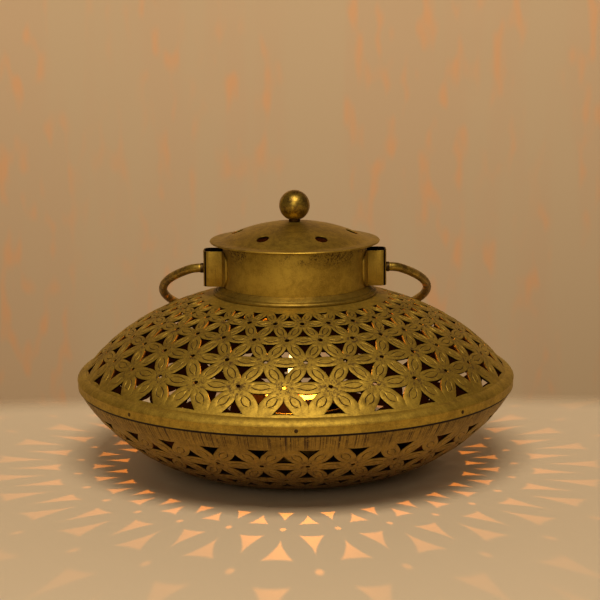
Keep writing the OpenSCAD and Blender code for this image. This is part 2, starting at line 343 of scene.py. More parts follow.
def wax_finish():
    finish = Finish("candle_wax")
    cloud = finish.noise(4 * MM, detail=4, shift=6.0)
    from_wick = finish.node("ShaderNodeVectorMath", {"operation": "LENGTH"},
                            {0: finish.node("ShaderNodeVectorMath", {"operation": "MULTIPLY"},
                                            {0: finish.place, 1: (1, 1, 0)})}, output="Value")
    melted = from_wick.ramp(16 * MM, 9 * MM)
    colour = finish.blend(cloud.ramp(0.3, 0.7), (0.84, 0.75, 0.52), (0.90, 0.82, 0.62))
    # Painted glow: the wax gives off its own orange light, as if the flame shone through it.
    painted_glow = finish.blend(from_wick.ramp(3 * MM, 17 * MM), (1.0, 0.62, 0.10), (0.85, 0.33, 0.04))
    finish.set(Base_Color=colour, Roughness=0.42 - melted * 0.34, Emission_Color=painted_glow)
    finish.set(Subsurface_Weight=0.35, Subsurface_Radius=(0.006, 0.003, 0.001), Subsurface_Scale=1.0)
    finish.set(Emission_Strength=0.9)
    finish.bump(cloud * (1.0 - melted), 0.2 * MM, 0.4)
    return finish.material


def wick_finish():
    finish = Finish("cotton_wick")
    burnt = finish.axis("Z").ramp(WAX_TOP, WICK_TOP - 2 * MM)
    fibre = finish.noise(0.3 * MM, detail=4, stretch=(1, 1, 3), shift=2.0)
    colour = finish.blend(burnt, (0.70, 0.62, 0.48), (0.012, 0.010, 0.009))
    finish.set(Base_Color=finish.blend(fibre * 0.5, colour, (0.02, 0.015, 0.01)),
               Roughness=0.9 - fibre * 0.1)
    finish.bump(fibre, 0.12 * MM, 0.8)
    return finish.material


def flame_finish():
    finish = Finish("flame")
    height = finish.axis("Z")
    colour = finish.blend(height.ramp(WICK_TOP - 4 * MM, WICK_TOP + 6 * MM), (1.0, 0.42, 0.08),
                          (1.0, 0.60, 0.16))
    finish.set(Base_Color=(0, 0, 0), Roughness=1.0, Emission_Color=colour, Emission_Strength=6.0)
    return finish.material


def floor_finish():
    finish = Finish("pale_table")
    cloud = finish.noise(0.12, detail=4, shift=1.0)
    finish.set(Base_Color=finish.blend(cloud, (0.80, 0.66, 0.47), (0.83, 0.69, 0.50)),
               Roughness=0.6 + cloud * 0.05)
    centre = Vector((0, -TABLE_R + TABLE_EDGE, 0))
    offset = finish.node("ShaderNodeVectorMath", {"operation": "SUBTRACT"}, {0: finish.place, 1: centre})
    reach = finish.node("ShaderNodeVectorMath", {"operation": "LENGTH"}, {0: offset}, output="Value")
    finish.set(Alpha=reach.ramp(TABLE_R, TABLE_R - 0.05))
    return finish.material


def wall_finish():
    finish = Finish("warm_wall")
    cloud = finish.noise(0.5, detail=2, shift=8.0)
    # Painted light: orange streaks and spots in columns on the wall, as if the candle shone through the
    # cut-outs onto it.
    light_columns = finish.noise(0.055, detail=1, stretch=(1, 1, 9), shift=2.0).ramp(0.36, 0.56)
    glints = finish.noise(0.026, detail=1, stretch=(1, 1, 2.6), shift=5.0).ramp(0.49, 0.74)
    paint_and_light = finish.blend(cloud, (0.74, 0.55, 0.345), (0.78, 0.585, 0.37))
    paint_and_light = finish.blend(light_columns * 0.35, paint_and_light, (0.78, 0.52, 0.32))
    finish.set(Base_Color=finish.blend(light_columns * glints * 0.6, paint_and_light, (1.0, 0.50, 0.22)),
               Roughness=0.9 - cloud * 0.05)
    return finish.material


# ---------------------------------------------------------------- making pieces

def add_mesh(name, shape, finish):
    mesh = bpy.data.meshes.new(name)
    shape.to_mesh(mesh)
    shape.free()
    mesh.polygons.foreach_set("use_smooth", [True] * len(mesh.polygons))
    mesh.set_sharp_from_angle(angle=math.radians(38))
    piece = bpy.data.objects.new(name, mesh)
    bpy.context.collection.objects.link(piece)
    piece.data.materials.append(finish)
    return piece


def add_piece(name, shape, finish, body, slot, *nodes):
    """Makes the finished piece, which stands for the named nodes of the frame."""
    piece = add_mesh(name, shape, finish)
    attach(piece, body)
    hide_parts(*nodes)
    return piece


def settle(shape):
    bmesh.ops.remove_doubles(shape, verts=shape.verts, dist=MERGE)
    bmesh.ops.recalc_face_normals(shape, faces=shape.faces)
    return shape


def spun(outline, steps=160, round_off=0.0, closed=True):
    """Turns an outline of radius and height about the upright axis, its corners rounded first."""
    shape = bmesh.new()
    points = [shape.verts.new((r, 0, z)) for r, z in outline]
    pairs = list(zip(points, points[1:])) + ([(points[-1], points[0])] if closed else [])
    for pair in pairs:
        shape.edges.new(pair)
    corners = [p for p in points if p.co.x > MERGE]
    if round_off:
        bmesh.ops.bevel(shape, geom=corners, offset=round_off, offset_type="OFFSET", affect="VERTICES",
                        segments=3, profile=0.5, material=-1, clamp_overlap=True)
    bmesh.ops.spin(shape, geom=shape.verts[:] + shape.edges[:], axis=(0, 0, 1), cent=(0, 0, 0),
                   angle=TAU, steps=steps, use_merge=True)
    return settle(shape)


def paint_inside(shape, rule):
    """Marks the points that the rule finds as the inside of a piece, which its finish paints black as shade.
    """
    inside = shape.verts.layers.float.new("inside")
    for vert in shape.verts:
        vert[inside] = 1.0 if rule(vert.co) else 0.0
    return shape


def join(first, *others):
    """Adds the other shapes to the first."""
    for other in others:
        mesh = bpy.data.meshes.new("passing")
        other.to_mesh(mesh)
        other.free()
        first.from_mesh(mesh)
        bpy.data.meshes.remove(mesh)
    return first


def turned(shape, matrix):
    bmesh.ops.transform(shape, matrix=matrix, verts=shape.verts)
    return shape


def softened(node, offset, angle=40, segments=2):
    """A copy of a frame node with its sharp edges rounded."""
    shape = bmesh.new()
    shape.from_mesh(bpy.data.objects[node].data)
    bmesh.ops.remove_doubles(shape, verts=shape.verts, dist=MERGE)
    bmesh.ops.dissolve_limit(shape, angle_limit=math.radians(0.5), verts=shape.verts, edges=shape.edges)
    sharp = [e for e in shape.edges if len(e.link_faces) == 2 and e.calc_face_angle() > math.radians(angle)]
    bmesh.ops.bevel(shape, geom=sharp, offset=offset, offset_type="OFFSET", affect="EDGES",
                    segments=segments, profile=0.5, material=-1, clamp_overlap=True)
    return settle(shape)


# ---------------------------------------------------------------- pierced shells

FLOWERS = 28
HALF_STEP = math.pi / FLOWERS
TILE_H = math.sqrt(3) / 2           # height of the triangle between three flowers, its side being 1
HOLE_R = 1.3 * MM
GROOVE_W = 0.65 * MM
GROOVE_DEPTH = 0.32 * MM
CROWN = 0.12 * MM                   # rise of the leaf inside its engraved line
EDGE_DROP = 0.14 * MM               # worn edge of a cut-out
LEAF_REACH = 0.20                   # half the length of the engraved leaf, in flower spacings
LEAF_HALF_W = 0.085
PETAL_HALF_W = 0.180
CUT_TIP = 0.264                      # from a flower's centre to the tip of a cut-out
# Rows across half a petal, from its middle to its edge, over the edge and back to the middle.
FLOWER_ROWS = (0, 0.2, 0.4, 0.6, 0.8, 1, 1, 0)
TIP_ROWS = (0, 0.03, 0.10, 0.35, 0.8, 1, 1, 0)
PLAIN_ROWS = (0, 0.2, 0.4, 0.6, 0.88, 1, 1, 0)

# Outside of the two spun profiles, as cubic curves of radius and height from the rim inwards.
UPPER_CURVE = [Vector(p) for p in (
    (RIM_R - 4.2 * MM, RIM_Z + 5.7 * MM), (RIM_R - 13.7 * MM, RIM_Z + 18.1 * MM),
    (SHOULDER_R + 45.1 * MM, SHOULDER_Z - 10.4 * MM), (SHOULDER_R, SHOULDER_Z))]
LOWER_CURVE = [Vector(p) for p in (
    (RIM_R - 1.2 * MM, RIM_Z - 2.6 * MM), (RIM_R - 6.2 * MM, RIM_Z - 14.5 * MM),
    (FOOT_R + 43.5 * MM, 0), (FOOT_R, 0))]
UPPER_RINGS = (0.02, 0.32, 0.533, 0.711, 0.8515, 0.965)
LOWER_RINGS = (0.165, 0.378, 0.557, 0.70)
UPPER_TURN, LOWER_TURN = math.radians(-3.2), math.radians(3.2)


def along(curve, t):
    s = 1 - t
    return s ** 3 * curve[0] + 3 * s * s * t * curve[1] + 3 * s * t * t * curve[2] + t ** 3 * curve[3]


def sunk(curve, t, depth):
    """The point at t, moved in from the outside of the sheet by depth."""
    heading = along(curve, t + 0.001) - along(curve, t - 0.001)
    upward = 1 if curve[3].y > curve[0].y else -1
    outward = upward * Vector((heading.y, -heading.x)).normalized()
    return along(curve, t) - depth * outward


def half_petal(tile, corner, edge_angle, mirrored, share, tip, hole, middle, leaf, spacing):
    """One half of a half petal, from a flower's centre to the middle of the petal.

    It lies along one side of the tile, on the outside, over the edge of the cut-out and back
    along the inside. share is the angle between the side and the tip of the cut-out.
    """
    groove, ground, inside = (tile.verts.layers.float[name] for name in ("groove", "ground", "inside"))
    columns, rows, tip_column = 6, 7, 2
    made = bmesh.ops.create_grid(tile, x_segments=columns, y_segments=rows, size=0.5)["verts"]
    grid = {(round((v.co.x + 0.5) * columns), round((v.co.y + 0.5) * rows)): v for v in made}
    spacing_w = GROOVE_W / spacing
    leaf_reach = LEAF_REACH if hole else LEAF_REACH * 0.6
    tip_u, tip_v = tip * math.cos(share), tip * math.sin(share)
    for (i, j), vert in grid.items():
        outside = j <= 5
        if i <= tip_column:
            reach = hole + (tip - hole) * i / tip_column
            steps = TIP_ROWS if leaf and i == tip_column else FLOWER_ROWS
            u, v = reach * math.cos(steps[j] * share), reach * math.sin(steps[j] * share)
        else:
            q = (i - tip_column) / (columns - tip_column)
            low = tip + (0.5 - tip) * q
            high = tip_u + (0.5 - tip_u) * q
            side = middle - (middle - tip_v) * (1 - q) ** 2.8
            off = min(1.0, (0.5 - low) / leaf_reach)
            leaf_v = LEAF_HALF_W * (1 - off * off) ** 0.75
            f_leaf = leaf_v / side
            f_half = 0.5 * spacing_w / side
            if leaf:
                steps = (0, max(0.02, f_leaf - f_half), f_leaf + 0.02, f_leaf + f_half + 0.03, 0.90, 1, 1, 0)
            else:
                steps = PLAIN_ROWS
            u, v = low + (high - low) * steps[j], side * steps[j]
        depth = 0 if outside else WALL
        if leaf and i > tip_column and off < 1:
            depth += {0: -CROWN, 1: -CROWN, 2: GROOVE_DEPTH}.get(j, 0)
            vert[groove] = 1.0 if j == 2 else 0.0
        if (j == 5 and i >= tip_column) or (i == 0 and hole and outside):
            depth += EDGE_DROP
        vert[ground] = 0.35 if not hole or i > tip_column else 0.6 if i == tip_column else 1.0
        # Painted shade: the back of the sheet is marked to be painted black, and the walls of the cut-outs
        # partly so.
        vert[inside] = 1.0 if not outside else 0.2 if j == 5 and i >= tip_column else 0.0
        if mirrored:
            v = -v
        turn = Matrix.Rotation(edge_angle, 2)
        spot = corner + turn @ Vector((u, v))
        vert.co = (spot.x, spot.y, -depth)
    # Between the flowers' centres and the cut-out there is no edge to close.
    solid = {grid[i, j] for i in range(tip_column + 1) for j in (5, 6)}
    strip = {f for vert in solid for f in vert.link_faces if solid.issuperset(f.verts)}
    bmesh.ops.delete(tile, geom=list(strip), context="FACES")
    if hole:
        tile.faces.new([grid[0, j] for j in range(rows + 1)])


def make_tile(corners, middles, leaves, spacing):
    """The triangle between three flowers with its cut-out, flat, its sides 1 long.

    Each corner has its hole's radius, the distance to the cut-out's tip, and that tip's angle.
    """
    tile = bmesh.new()
    for name in ("groove", "ground", "inside"):
        tile.verts.layers.float.new(name)
    places = (Vector((0, 0)), Vector((1, 0)), Vector((0.5, TILE_H)))
    for i, (hole, tip, share) in enumerate(corners):
        out, back = math.radians(120 * i), math.radians(120 * i + 60)
        share = math.radians(share)
        last = (i + 2) % 3
        half_petal(tile, places[i], out, False, share, tip, hole, middles[i], leaves[i], spacing)
        half_petal(tile, places[i], back, True, math.radians(60) - share, tip, hole,
                   middles[last], leaves[last], spacing)
    bmesh.ops.remove_doubles(tile, verts=tile.verts, dist=0.0005)
    return tile


def lay_tile(tile, curve, base_t, tip_t, azimuth):
    """Bends a flat tile onto the spun profile, its first two corners on the ring at base_t."""
    for vert in tile.verts:
        up = vert.co.y / TILE_H
        right = vert.co.x - up / 2
        angle = azimuth + HALF_STEP * (2 * right + up - 1)
        place = sunk(curve, base_t + (tip_t - base_t) * up, -vert.co.z)
        vert.co = (place.x * math.sin(angle), -place.x * math.cos(angle), place.y)
    return tile


OUT, IN, SEAM = 0, 1, 2              # the outside, the inside painted black as shade, the dark line of the seam


def grow(shape, start, outline):
    """Draws the open ring of edges at start out through each radius, height and side of an outline."""
    ring = [e for e in shape.edges if e.is_boundary and all(
        (Vector((v.co.xy.length, v.co.z)) - start).length < 0.05 * MM for v in e.verts)]
    inside, groove = (shape.verts.layers.float[name] for name in ("inside", "groove"))
    for radius, height, side in outline:
        made = bmesh.ops.extrude_edge_only(shape, edges=ring)["geom"]
        ring = [g for g in made if isinstance(g, bmesh.types.BMEdge) and g.is_boundary]
        for vert in {v for e in ring for v in e.verts}:
            flat = vert.co.xy.normalized() * radius
            vert.co = (flat.x, flat.y, height)
            # Painted shade: rings on the inner side are marked to be painted black.
            vert[inside] = float(side == IN)
            vert[groove] = float(side == SEAM)


def pierced(curve, rings, turn):
    """The pierced part of a shell: rounds of tiles between rings of flowers."""
    shape = bmesh.new()
    for name in ("groove", "ground", "inside"):
        shape.verts.layers.float.new(name)
    last = len(rings) - 2
    petals, lined = (PETAL_HALF_W,) * 3, (True,) * 3
    for k in range(len(rings) - 1):
        spacing = [TAU * along(curve, t).x / FLOWERS for t in (rings[k], rings[k + 1])]
        low, high = (HOLE_R / s for s in spacing)
        near, far = (low, CUT_TIP, 30), (high, CUT_TIP, 30)
        if k == 0:
            up = make_tile(((0, 0.30, 17), (0, 0.30, 43), (high, 0.30, 30)), (0.11, 0.20, 0.20),
                           (False, True, True), spacing[1])
            down = make_tile((far, far, (0, 0.17, 30)), (PETAL_HALF_W, 0.20, 0.20), lined, spacing[1])
        elif k == last:
            up = make_tile((near, near, (0, 0.30, 30)), petals, lined, spacing[0])
            down = make_tile(((0, 0.30, 30), (0, 0.30, 30), (low, 0.30, 30)), petals,
                             (False, True, True), spacing[0])
        else:
            up = make_tile((near, near, far), petals, lined, spacing[0])
            down = make_tile((far, far, near), petals, lined, spacing[1])
        first = turn + k * HALF_STEP
        join(shape, lay_tile(up, curve, rings[k], rings[k + 1], first),
             lay_tile(down, curve, rings[k + 1], rings[k], first + HALF_STEP))
    step = TAU / FLOWERS
    bmesh.ops.spin(shape, geom=shape.verts[:] + shape.edges[:] + shape.faces[:], axis=(0, 0, 1),
                   cent=(0, 0, 0), angle=step * (FLOWERS - 1), steps=FLOWERS - 1, use_duplicate=True)
    bmesh.ops.remove_doubles(shape, verts=shape.verts, dist=MERGE)
    return shape


def upper_shell():
    shape = pierced(UPPER_CURVE, UPPER_RINGS, UPPER_TURN)
    low, high = UPPER_RINGS[0], UPPER_RINGS[-1]
    bead = [(3.9, 6.3), (2.9, 5.95), (1.95, 5.35), (1.1, 4.6), (0.5, 3.85), (0.12, 3.2), (0.0, 2.7),
            (0.2, 2.35), (0.3, 2.0)]
    outline = [(RIM_R - r * MM, RIM_Z + z * MM, OUT) for r, z in bead]
    outline += [(SKIRT_R, SEAM_Z + 0.7 * MM, OUT), (SKIRT_R, SEAM_Z + 0.25 * MM, SEAM),
                (SKIRT_R - 0.2 * MM, SEAM_Z, SEAM), (SKIRT_R - WALL, SEAM_Z, IN),
                (SKIRT_R - WALL, RIM_Z + 3 * MM, IN), (RIM_R - 3.2 * MM, RIM_Z + 4.4 * MM, IN),
                (*sunk(UPPER_CURVE, low, WALL), IN)]
    grow(shape, along(UPPER_CURVE, low), outline)
    hole_r = NECK_R + 0.05 * MM
    grow(shape, along(UPPER_CURVE, high), [
        (*along(UPPER_CURVE, 0.985), OUT), (SHOULDER_R, SHOULDER_Z, OUT),
        (hole_r + 1 * MM, SHOULDER_Z + 0.5 * MM, OUT), (hole_r, SHOULDER_Z + 0.6 * MM, OUT),
        (hole_r, SHOULDER_Z + 0.6 * MM - WALL, IN),
        (*sunk(UPPER_CURVE, high, WALL), IN)])
    return settle(shape)


def lower_shell():
    shape = pierced(LOWER_CURVE, LOWER_RINGS, LOWER_TURN)
    low, high = LOWER_RINGS[0], LOWER_RINGS[-1]
    lip_r = SKIRT_R - WALL - 0.05 * MM
    plain = [low * (1 - i / 4) for i in (1, 2, 3, 4)]
    outline = [(*along(LOWER_CURVE, t), OUT) for t in (*plain[:-1], 0.02)]
    outline += [(*along(LOWER_CURVE, 0.004), SEAM), (RIM_R - 1.3 * MM, RIM_Z - 2.5 * MM, SEAM),
                (lip_r, RIM_Z - 2.4 * MM, IN), (lip_r, RIM_Z + 2.5 * MM, IN),
                (lip_r - WALL, RIM_Z + 2.5 * MM, IN)]
    outline += [(*sunk(LOWER_CURVE, t, WALL), IN) for t in (*reversed(plain), low)]
    grow(shape, along(LOWER_CURVE, low), outline)
    base = [high + (1 - high) * i / 6 for i in range(1, 7)]
    grow(shape, along(LOWER_CURVE, high), [(*along(LOWER_CURVE, t), OUT) for t in base]
         + [(FOOT_R * s, 0, OUT) for s in (0.7, 0.35, 0)])
    grow(shape, sunk(LOWER_CURVE, high, WALL), [(*sunk(LOWER_CURVE, t, WALL), IN) for t in base]
         + [(FOOT_R * s, WALL, IN) for s in (0.7, 0.35, 0)])
    return settle(shape)


# ---------------------------------------------------------------- neck, brackets and bail

def neck_band():
    shape = spun([(NECK_R - 1 * MM, NECK_LOW), (NECK_R, NECK_LOW), (NECK_R, NECK_TOP),
                  (NECK_R - 1 * MM, NECK_TOP)], round_off=0.3 * MM)
    return paint_inside(shape, lambda p: p.xy.length < NECK_R - 0.85 * MM)


def neck_flange():
    r, z = NECK_R + 0.05 * MM, FLANGE_LOW
    out = FLANGE_R
    top = FLANGE_TOP
    return spun([(r, z + 0.5 * MM), (out, z), (out, z + 0.9 * MM), (out - 0.5 * MM, z + 1.55 * MM),
                 (out - 1.6 * MM, z + 2.0 * MM), (out - 1.85 * MM, z + 1.6 * MM),
                 (out - 2.3 * MM, z + 1.7 * MM), (out - 2.45 * MM, z + 2.4 * MM),
                 (r + 1.2 * MM, top - 0.6 * MM), (r + 0.5 * MM, top), (r, top)], round_off=0.12 * MM)


def within_strap(point):
    return abs(point.x) < STRAP_X - 0.85 * MM and abs(point.y) < 6.6 * MM


def bail_rod():
    """Round rod from one peened head to the other, drawn by turning its end about each bend."""
    bow_r, bow_drop = 79 * MM, 54 * MM
    lie_back = math.radians(24.2)           # below level, resting on the shell
    shoulder_x = STRAP_X + 1.9 * MM
    head_x = STRAP_X - 1.3 * MM
    bend_r = (bow_r ** 2 - shoulder_x ** 2 - bow_drop ** 2) / (2 * (bow_r - bow_drop))
    bend = math.atan2(bow_drop - bend_r, shoulder_x)
    shape = bmesh.new()
    quarter = Matrix.Rotation(math.radians(90), 4, "Y")
    start = Matrix.Translation((-(head_x - 1.5 * MM), 0, 0)) @ quarter
    bmesh.ops.create_circle(shape, cap_ends=True, cap_tris=False, segments=20, radius=2.4 * MM, matrix=start)
    stations = [(head_x - 1.35 * MM, 3.1), (head_x - 0.9 * MM, 3.45), (head_x - 0.15 * MM, 3.5),
                (head_x, 3.3), (head_x, 2.0), (shoulder_x - 0.05 * MM, 2.0),
                (shoulder_x - 0.05 * MM, 2.3), (shoulder_x, 2.5)]
    ring = draw_rod(shape, shape.edges[:], [(-x, r * MM) for x, r in stations])
    for centre, angle, steps in (((-shoulder_x, bend_r), math.pi / 2 - bend, 10),
                                 ((0, bow_drop), math.pi + 2 * bend, 120),
                                 ((shoulder_x, bend_r), math.pi / 2 - bend, 10)):
        made = bmesh.ops.spin(shape, geom=ring, cent=(*centre, 0), axis=(0, 0, -1),
                              angle=angle, steps=steps)["geom_last"]
        ring = [g for g in made if isinstance(g, bmesh.types.BMEdge)]
    back = [*reversed(stations[:-1]), (head_x - 1.5 * MM, 2.4)]
    ring = draw_rod(shape, ring, [(x, r * MM) for x, r in back])
    bmesh.ops.holes_fill(shape, edges=ring, sides=0)
    turned(shape, Matrix.Translation(BAIL_PIVOT) @ Matrix.Rotation(-lie_back, 4, "X"))
    return settle(shape)


def draw_rod(shape, ring, stations):
    """Draws a ring of edges along X through each place and radius."""
    for x, radius in stations:
        made = bmesh.ops.extrude_edge_only(shape, edges=ring)["geom"]
        ring = [g for g in made if isinstance(g, bmesh.types.BMEdge) and g.is_boundary]
        for vert in {v for e in ring for v in e.verts}:
            flat = vert.co.yz.normalized() * radius
            vert.co = (x, flat.x, flat.y)
    return ring


def washer(side):
    low, high = STRAP_X + 0.2 * MM, STRAP_X + 1.9 * MM
    shape = spun([(2.02 * MM, low), (2.8 * MM, low), (2.8 * MM, high), (2.02 * MM, high)], steps=40,
                 round_off=0.2 * MM)
    return turned(shape, Matrix.Translation(BAIL_PIVOT) @ Matrix.Rotation(math.radians(90 * side), 4, "Y"))


def seam_rivets():
    """Low domed heads on the seam, with shanks and spread tails behind them."""
    shape = bmesh.new()
    tail_r = SKIRT_R - 2 * WALL - 0.85 * MM
    for i in range(8):
        angle = TAU * i / 8
        up = Matrix.Translation((0, 0, RIM_Z + 0.6 * MM))
        out = Matrix.Rotation(angle, 4, "Z") @ up @ Matrix.Rotation(math.radians(90), 4, "X")
        head = spun([(0, SKIRT_R - 1.2 * MM), (1.1 * MM, SKIRT_R - 1.2 * MM), (1.1 * MM, SKIRT_R),
                     (0.8 * MM, SKIRT_R + 0.16 * MM), (0, SKIRT_R + 0.2 * MM)], steps=16, closed=False)
        tail = spun([(0, tail_r), (1.4 * MM, tail_r), (1.8 * MM, tail_r + 0.35 * MM),
                     (1.7 * MM, tail_r + 0.72 * MM), (0, tail_r + 0.72 * MM)], steps=16, closed=False)
        join(shape, turned(head, out), turned(tail, out))
    return shape


# ---------------------------------------------------------------- lid and knob

def lid_dome():
    dome_r, brim_top = NECK_R + 0.5 * MM, LID_Z + 1.6 * MM
    rise = APEX_Z - brim_top
    sphere_r = (dome_r ** 2 + rise ** 2) / (2 * rise)

    def dome(r, drop):
        return r, APEX_Z - sphere_r + math.sqrt(sphere_r ** 2 - r * r) - drop

    steps = 16
    outline = [dome(dome_r * i / steps, 0) for i in range(steps)]
    outline += [(dome_r, brim_top), (dome_r + 1.2 * MM, LID_Z + 1.30 * MM),
                (LID_R - 1.0 * MM, LID_Z + 1.15 * MM),
                (LID_R - 0.3 * MM, LID_Z + 1.0 * MM), (LID_R, LID_Z + 0.6 * MM),
                (LID_R - 0.2 * MM, LID_Z + 0.15 * MM),
                (LID_R - 0.8 * MM, LID_Z), (dome_r - 3 * MM, LID_Z)]
    outline += [dome((dome_r - 3 * MM) * i / steps, WALL) for i in range(steps, -1, -1)]
    return spun(outline, steps=180, closed=False)


def under_dome(point):
    dome_r = NECK_R + 0.5 * MM
    rise = APEX_Z - LID_Z - 1.6 * MM
    level = LID_Z + 1.6 * MM + rise * (1 - (point.xy.length / dome_r) ** 2)
    return point.xy.length < dome_r and point.z < level - 0.8 * MM


VENTS = [math.radians(27 + 60 * i) for i in range(6)]


def vented(piece):
    """Bores the vents through the lid and breaks their edges."""
    cutters = bmesh.new()
    spots = [Vector((32.5 * MM * math.sin(a), -32.5 * MM * math.cos(a), APEX_Z)) for a in VENTS]
    for spot in spots:
        bmesh.ops.create_cone(cutters, cap_ends=True, segments=40, radius1=3.5 * MM, radius2=3.5 * MM,
                              depth=40 * MM,
                              matrix=Matrix.Translation(spot))
    cutter = add_mesh("vent_cutter", cutters, piece.data.materials[0])
    bore = piece.modifiers.new("vents", "BOOLEAN")
    bore.operation, bore.solver, bore.object = "DIFFERENCE", "EXACT", cutter
    solid = bpy.data.meshes.new_from_object(piece.evaluated_get(bpy.context.evaluated_depsgraph_get()))
    piece.modifiers.clear()
    bpy.data.objects.remove(cutter)
    shape = bmesh.new()
    shape.from_mesh(solid)
    rims = [e for e in shape.edges if len(e.link_faces) == 2 and e.calc_face_angle() > math.radians(50)
            and any((e.verts[0].co.xy - s.xy).length < 3.6 * MM for s in spots)]
    bmesh.ops.bevel(shape, geom=rims, offset=0.25 * MM, offset_type="OFFSET", affect="EDGES", segments=2,
                    profile=0.5, material=-1, clamp_overlap=True)
    paint_inside(shape, under_dome)
    shape.to_mesh(piece.data)
    shape.free()
    bpy.data.meshes.remove(solid)
    piece.data.polygons.foreach_set("use_smooth", [True] * len(piece.data.polygons))
    piece.data.set_sharp_from_angle(angle=math.radians(38))


def lid_skirt():
    r = NECK_R - 1.4 * MM
    low, high = heights("lid_skirt")
    shape = spun([(r - 1 * MM, low), (r, low), (r, high), (r - 1 * MM, high)], round_off=0.3 * MM)
    return paint_inside(shape, lambda p: p.xy.length < r - 0.5 * MM)


def knob_collar():
    low, high = heights("knob_collar")
    return spun([(1.55 * MM, low), (3.3 * MM, low), (3.3 * MM, high), (1.55 * MM, high)], steps=48,
                round_off=0.3 * MM)


def knob_ball():
    shape = bmesh.new()
    bmesh.ops.create_uvsphere(shape, u_segments=72, v_segments=48, radius=BALL_R,
                              matrix=Matrix.Translation((0, 0, BALL_Z)))
    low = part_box("knob_ball")[0].z
    bmesh.ops.bisect_plane(shape, geom=shape.verts[:] + shape.edges[:] + shape.faces[:],
                           plane_co=(0, 0, low),
                           plane_no=(0, 0, 1), clear_inner=True)
    bmesh.ops.holes_fill(shape, edges=[e for e in shape.edges if e.is_boundary], sides=0)
    return settle(shape)


def knob_stud():
    low, high = heights("knob_rivet")
    return spun([(0, low), (2.6 * MM, low + 0.1 * MM), (3.6 * MM, low + 0.5 * MM),
                 (4 * MM, low + 1.1 * MM), (4 * MM, low + 1.5 * MM), (1.5 * MM, low + 1.5 * MM),
                 (1.5 * MM, high), (0, high)], steps=48, closed=False)


# ---------------------------------------------------------------- bowl and tealight

def burner_bowl():
    low, top = BOWL_LOW, BOWL_TOP
    return spun([(0, low), (BOWL_R - 9 * MM, low), (BOWL_R - 5.4 * MM, low + 1 * MM),
                 (BOWL_R - 3 * MM, low + 3.4 * MM), (BOWL_R - 1.6 * MM, low + 6.6 * MM),
                 (BOWL_R - 0.8 * MM, top - 2 * MM), (BOWL_R, top - 0.8 * MM),
                 (BOWL_R - 0.1 * MM, top - 0.2 * MM), (BOWL_R - 0.6 * MM, top),
                 (BOWL_R - 1.5 * MM, top - 0.3 * MM), (BOWL_R - 2.3 * MM, top - 1.2 * MM),
                 (BOWL_R - 4.5 * MM, low + 4.4 * MM), (BOWL_R - 6.6 * MM, low + 2.2 * MM),
                 (BOWL_R - 9.6 * MM, low + 1.5 * MM), (0, low + 1.5 * MM)],
                steps=128, round_off=0.25 * MM, closed=False)


def within_bowl(point):
    return point.z > BOWL_LOW + 1.2 * MM and point.xy.length < BOWL_R - 0.4 * MM - (BOWL_TOP - point.z) * 0.3


def bowl_foot():
    low, high = heights("bowl_foot")
    middle = 12 * MM
    return spun([(17 * MM, low), (20 * MM, low), (18 * MM, middle), (16 * MM, high), (14 * MM, high),
                 (15.5 * MM, middle)], steps=96, round_off=0.5 * MM)


def tealight_cup():
    """Thin pressed cup with fine upright flutes and a rolled edge."""
    foil = 0.4 * MM
    shape = spun([(0, CUP_LOW), (CUP_R - 0.9 * MM, CUP_LOW), (CUP_R - 0.25 * MM, CUP_LOW + 0.5 * MM),
                  (CUP_R - 0.1 * MM, CUP_LOW + 4 * MM), (CUP_R - 0.1 * MM, CUP_TOP - 1.2 * MM),
                  (CUP_R, CUP_TOP - 0.6 * MM), (CUP_R - 0.15 * MM, CUP_TOP - 0.05 * MM),
                  (CUP_R - 0.5 * MM, CUP_TOP), (CUP_R - 0.65 * MM, CUP_TOP - 0.7 * MM),
                  (CUP_R - foil - 0.1 * MM, CUP_TOP - 1.4 * MM),
                  (CUP_R - foil - 0.1 * MM, CUP_LOW + 4 * MM),
                  (CUP_R - foil - 0.4 * MM, CUP_LOW + foil + 0.3 * MM), (0, CUP_LOW + foil)],
                 steps=240, closed=False)
    for vert in shape.verts:
        if CUP_LOW + 1 * MM < vert.co.z < CUP_TOP - 1 * MM:
            flute = 1 - 0.006 * (1 + math.cos(60 * math.atan2(vert.co.y, vert.co.x)))
            vert.co.xy *= flute
    return shape


def tealight_wax():
    r = CUP_R - 0.75 * MM
    return spun([(0.85 * MM, WAX_LOW + 0.6 * MM), (4.95 * MM, WAX_LOW + 0.55 * MM), (5 * MM, WAX_LOW),
                 (r - 0.3 * MM, WAX_LOW), (r, WAX_LOW + 1 * MM), (r, WAX_TOP - 0.4 * MM),
                 (r - 0.6 * MM, WAX_TOP), (r - 2.2 * MM, WAX_TOP - 0.25 * MM),
                 (r - 3.4 * MM, WAX_TOP - 0.75 * MM), (r - 7 * MM, WAX_TOP - 0.9 * MM),
                 (4 * MM, WAX_TOP - 0.85 * MM), (1.6 * MM, WAX_TOP - 0.6 * MM),
                 (0.85 * MM, WAX_TOP - 0.1 * MM)], steps=96, round_off=0.2 * MM)


def wick_base():
    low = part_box("wick_base")[0].z
    return spun([(0.7 * MM, low), (4.8 * MM, low), (4.8 * MM, low + 0.2 * MM),
                 (4.4 * MM, low + 0.38 * MM), (0.7 * MM, low + 0.38 * MM)], steps=64)


